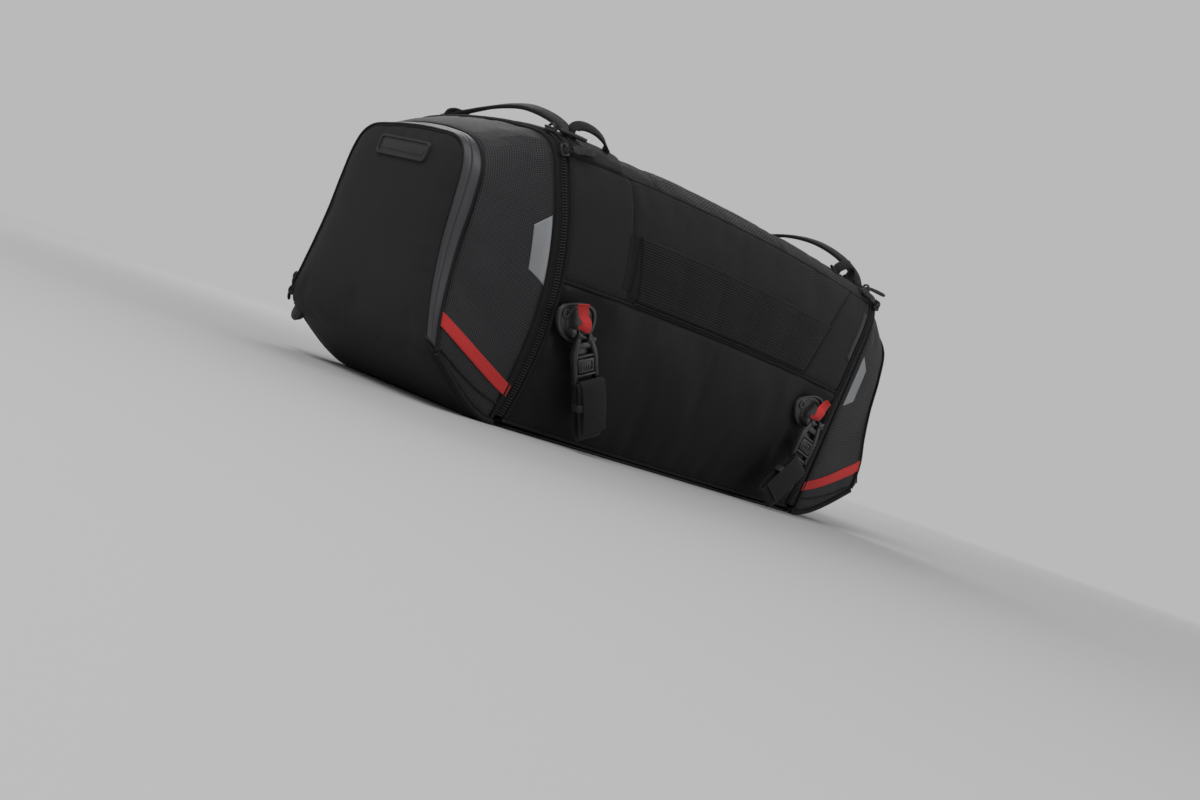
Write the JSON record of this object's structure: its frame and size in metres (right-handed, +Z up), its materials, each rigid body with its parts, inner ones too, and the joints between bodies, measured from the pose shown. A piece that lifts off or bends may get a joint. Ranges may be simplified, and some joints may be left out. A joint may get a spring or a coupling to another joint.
{
  "type": "tail bag",
  "caption": "Soft-sided motorcycle tail bag: rounded box with zipped end hatches, padded end pockets, carrying handles and hooked hold-down straps.",
  "frame": {"origin": "on the floor under the middle of the bag", "axes": "+Z up; X from end to end, +X the right end as seen from the front; -Y the front, the side towards the rider"},
  "size_m": [0.587, 0.3002, 0.2801],
  "materials": {
    "ballistic": "tightly woven ballistic nylon, matte",
    "laminate": "smooth foam-backed laminate with a dull sheen",
    "dotted": "coated fabric with a fine raised grid of dots",
    "face": "smooth pressed foam panel, fine-grained and matte",
    "band": "rubber-coated zip tape, satin anthracite",
    "webbing": "woven nylon webbing with fine cross ribs",
    "red_webbing": "red woven polyester webbing",
    "lining": "thin woven lining",
    "board": "stiffening board",
    "plastic": "moulded nylon, fine grain with rubbed edges",
    "zip": "woven zip tape with a nylon coil",
    "metal": "black-lacquered zip slider"
  },
  "bodies": {
    "bag": {"base_board": "board", "base_panel": "laminate", "front_left_anchor": "plastic", "front_left_loop": "webbing", "front_lower_panel": "laminate", "front_right_anchor": "plastic", "front_right_loop": "webbing", "front_upper_panel": "ballistic", "front_webbing_panel": "webbing", "left_zip_tape": "zip", "rear_left_anchor": "plastic", "rear_left_loop": "webbing", "rear_lower_panel": "laminate", "rear_right_anchor": "plastic", "rear_right_loop": "webbing", "rear_upper_panel": "ballistic", "rear_webbing_panel": "webbing", "right_zip_tape": "zip", "top_panel": "ballistic"},
    "left_hatch": {"left_hatch_shell": "dotted", "left_hatch_underside": "face", "left_pocket_back": "lining", "left_pocket_band": "band"},
    "left_pocket_lid": {"left_pocket_face": "face"},
    "left_flank_zip_slider": {"left_flank_slider": "metal"},
    "left_flank_zip_pull": {"left_flank_pull": "plastic"},
    "left_top_zip_slider": {"left_top_slider": "metal"},
    "left_top_zip_pull": {"left_top_pull": "plastic"},
    "left_pocket_zip_lower": {"left_pocket_slider_lower": "metal"},
    "left_pocket_zip_upper": {"left_pocket_slider_upper": "metal"},
    "left_handle_strap": {"left_handle": "webbing"},
    "right_hatch": {"right_hatch_shell": "dotted", "right_hatch_underside": "face", "right_pocket_back": "lining", "right_pocket_band": "band"},
    "right_pocket_lid": {"right_pocket_face": "face"},
    "right_flank_zip_slider": {"right_flank_slider": "metal"},
    "right_flank_zip_pull": {"right_flank_pull": "plastic"},
    "right_top_zip_slider": {"right_top_slider": "metal"},
    "right_top_zip_pull": {"right_top_pull": "plastic"},
    "right_pocket_zip_lower": {"right_pocket_slider_lower": "metal"},
    "right_pocket_zip_upper": {"right_pocket_slider_upper": "metal"},
    "right_handle_strap": {"right_handle": "webbing"},
    "front_left_buckle": {"front_left_hook": "plastic", "front_left_strap": "webbing"},
    "front_left_button": {"front_left_release": "plastic"},
    "front_left_tab": {"front_left_pull_tab": "red_webbing"},
    "front_right_buckle": {"front_right_hook": "plastic", "front_right_strap": "webbing"},
    "front_right_button": {"front_right_release": "plastic"},
    "front_right_tab": {"front_right_pull_tab": "red_webbing"},
    "rear_left_buckle": {"rear_left_hook": "plastic", "rear_left_strap": "webbing"},
    "rear_left_button": {"rear_left_release": "plastic"},
    "rear_left_tab": {"rear_left_pull_tab": "red_webbing"},
    "rear_right_buckle": {"rear_right_hook": "plastic", "rear_right_strap": "webbing"},
    "rear_right_button": {"rear_right_release": "plastic"},
    "rear_right_tab": {"rear_right_pull_tab": "red_webbing"}
  },
  "joints": [
    {"name": "left_hatch_hinge", "type": "hinge", "parent": "bag", "child": "left_hatch", "pos_m": [-0.1976, 0, 0], "axis": [0, -1, 0], "range_deg": [0, 80]},
    {"name": "left_pocket_hinge", "type": "hinge", "parent": "left_hatch", "child": "left_pocket_lid", "pos_m": [-0.2905, 0, 0.0479], "axis": [0, -1, 0], "range_deg": [0, 110]},
    {"name": "left_flank_zip_travel", "type": "slide", "parent": "bag", "child": "left_flank_zip_slider", "axis": [0.24, -0.3262, -0.9143], "range_m": [0, 0.03]},
    {"name": "left_flank_pull_pivot", "type": "hinge", "parent": "left_flank_zip_slider", "child": "left_flank_zip_pull", "pos_m": [-0.21584, -0.12082, 0.23581], "axis": [0.24, -0.3262, -0.9143], "range_deg": [0, 90]},
    {"name": "left_top_zip_travel", "type": "slide", "parent": "bag", "child": "left_top_zip_slider", "axis": [-0.0118, 0.9842, 0.1768], "range_m": [-0.008, 0.004]},
    {"name": "left_top_pull_pivot", "type": "hinge", "parent": "left_top_zip_slider", "child": "left_top_zip_pull", "pos_m": [-0.21983, -0.10064, 0.25118], "axis": [-0.5782, -0.8028, -0.1452], "range_deg": [0, 65]},
    {"name": "left_pocket_zip_lower_travel", "type": "slide", "parent": "left_hatch", "child": "left_pocket_zip_lower", "axis": [0.0254, -0.2335, 0.972], "range_m": [0, 0.045]},
    {"name": "left_pocket_zip_upper_travel", "type": "slide", "parent": "left_hatch", "child": "left_pocket_zip_upper", "axis": [0.0254, -0.2335, 0.972], "range_m": [0, 0.045]},
    {"name": "left_handle_swing", "type": "hinge", "parent": "bag", "child": "left_handle_strap", "pos_m": [-0.208, 0, 0.2515], "axis": [0, 1, 0], "range_deg": [-30, 30]},
    {"name": "right_hatch_hinge", "type": "hinge", "parent": "bag", "child": "right_hatch", "pos_m": [0.1976, 0, 0], "axis": [0, 1, 0], "range_deg": [0, 80]},
    {"name": "right_pocket_hinge", "type": "hinge", "parent": "right_hatch", "child": "right_pocket_lid", "pos_m": [0.2905, 0, 0.0479], "axis": [0, 1, 0], "range_deg": [0, 110]},
    {"name": "right_flank_zip_travel", "type": "slide", "parent": "bag", "child": "right_flank_zip_slider", "axis": [-0.24, -0.3262, -0.9143], "range_m": [0, 0.03]},
    {"name": "right_flank_pull_pivot", "type": "hinge", "parent": "right_flank_zip_slider", "child": "right_flank_zip_pull", "pos_m": [0.21584, -0.12082, 0.23581], "axis": [0.24, 0.3262, 0.9143], "range_deg": [0, 90]},
    {"name": "right_top_zip_travel", "type": "slide", "parent": "bag", "child": "right_top_zip_slider", "axis": [0.0118, 0.9842, 0.1768], "range_m": [0, 0.04]},
    {"name": "right_top_pull_pivot", "type": "hinge", "parent": "right_top_zip_slider", "child": "right_top_zip_pull", "pos_m": [0.23254, -0.09673, 0.25186], "axis": [-0.0118, -0.9842, -0.1768], "range_deg": [0, 90]},
    {"name": "right_pocket_zip_lower_travel", "type": "slide", "parent": "right_hatch", "child": "right_pocket_zip_lower", "axis": [-0.0254, -0.2335, 0.972], "range_m": [0, 0.045]},
    {"name": "right_pocket_zip_upper_travel", "type": "slide", "parent": "right_hatch", "child": "right_pocket_zip_upper", "axis": [-0.0254, -0.2335, 0.972], "range_m": [0, 0.045]},
    {"name": "right_handle_swing", "type": "hinge", "parent": "bag", "child": "right_handle_strap", "pos_m": [0.208, 0, 0.2515], "axis": [0, -1, 0], "range_deg": [-30, 30]},
    {"name": "front_left_hook_pivot", "type": "hinge", "parent": "bag", "child": "front_left_buckle", "pos_m": [-0.16, -0.14466, 0.094], "axis": [-1, 0, 0], "range_deg": [0, 115]},
    {"name": "front_left_release_press", "type": "slide", "parent": "front_left_buckle", "child": "front_left_button", "axis": [0, 1, 0], "range_m": [0, 0.002], "stiffness_N_per_m": 400, "springref_m": -0.001},
    {"name": "front_left_tab_pivot", "type": "hinge", "parent": "bag", "child": "front_left_tab", "pos_m": [-0.16, -0.14616, 0.0988], "axis": [-1, 0, 0], "range_deg": [-90, 0]},
    {"name": "front_right_hook_pivot", "type": "hinge", "parent": "bag", "child": "front_right_buckle", "pos_m": [0.16, -0.14466, 0.094], "axis": [-1, 0, 0], "range_deg": [0, 115]},
    {"name": "front_right_release_press", "type": "slide", "parent": "front_right_buckle", "child": "front_right_button", "axis": [0, 1, 0], "range_m": [0, 0.002], "stiffness_N_per_m": 400, "springref_m": -0.001},
    {"name": "front_right_tab_pivot", "type": "hinge", "parent": "bag", "child": "front_right_tab", "pos_m": [0.16, -0.14616, 0.0988], "axis": [-1, 0, 0], "range_deg": [-90, 0]},
    {"name": "rear_left_hook_pivot", "type": "hinge", "parent": "bag", "child": "rear_left_buckle", "pos_m": [-0.16, 0.14466, 0.094], "axis": [1, 0, 0], "range_deg": [0, 115]},
    {"name": "rear_left_release_press", "type": "slide", "parent": "rear_left_buckle", "child": "rear_left_button", "axis": [0, -1, 0], "range_m": [0, 0.002], "stiffness_N_per_m": 400, "springref_m": -0.001},
    {"name": "rear_left_tab_pivot", "type": "hinge", "parent": "bag", "child": "rear_left_tab", "pos_m": [-0.16, 0.14616, 0.0988], "axis": [1, 0, 0], "range_deg": [-90, 0]},
    {"name": "rear_right_hook_pivot", "type": "hinge", "parent": "bag", "child": "rear_right_buckle", "pos_m": [0.16, 0.14466, 0.094], "axis": [1, 0, 0], "range_deg": [0, 115]},
    {"name": "rear_right_release_press", "type": "slide", "parent": "rear_right_buckle", "child": "rear_right_button", "axis": [0, -1, 0], "range_m": [0, 0.002], "stiffness_N_per_m": 400, "springref_m": -0.001},
    {"name": "rear_right_tab_pivot", "type": "hinge", "parent": "bag", "child": "rear_right_tab", "pos_m": [0.16, 0.14616, 0.0988], "axis": [1, 0, 0], "range_deg": [-90, 0]}
  ],
  "couplings": [
    {"joint": "left_pocket_zip_lower_travel", "follows": "left_pocket_zip_upper_travel", "ratio": 1},
    {"joint": "right_pocket_zip_lower_travel", "follows": "right_pocket_zip_upper_travel", "ratio": 1}
  ]
}
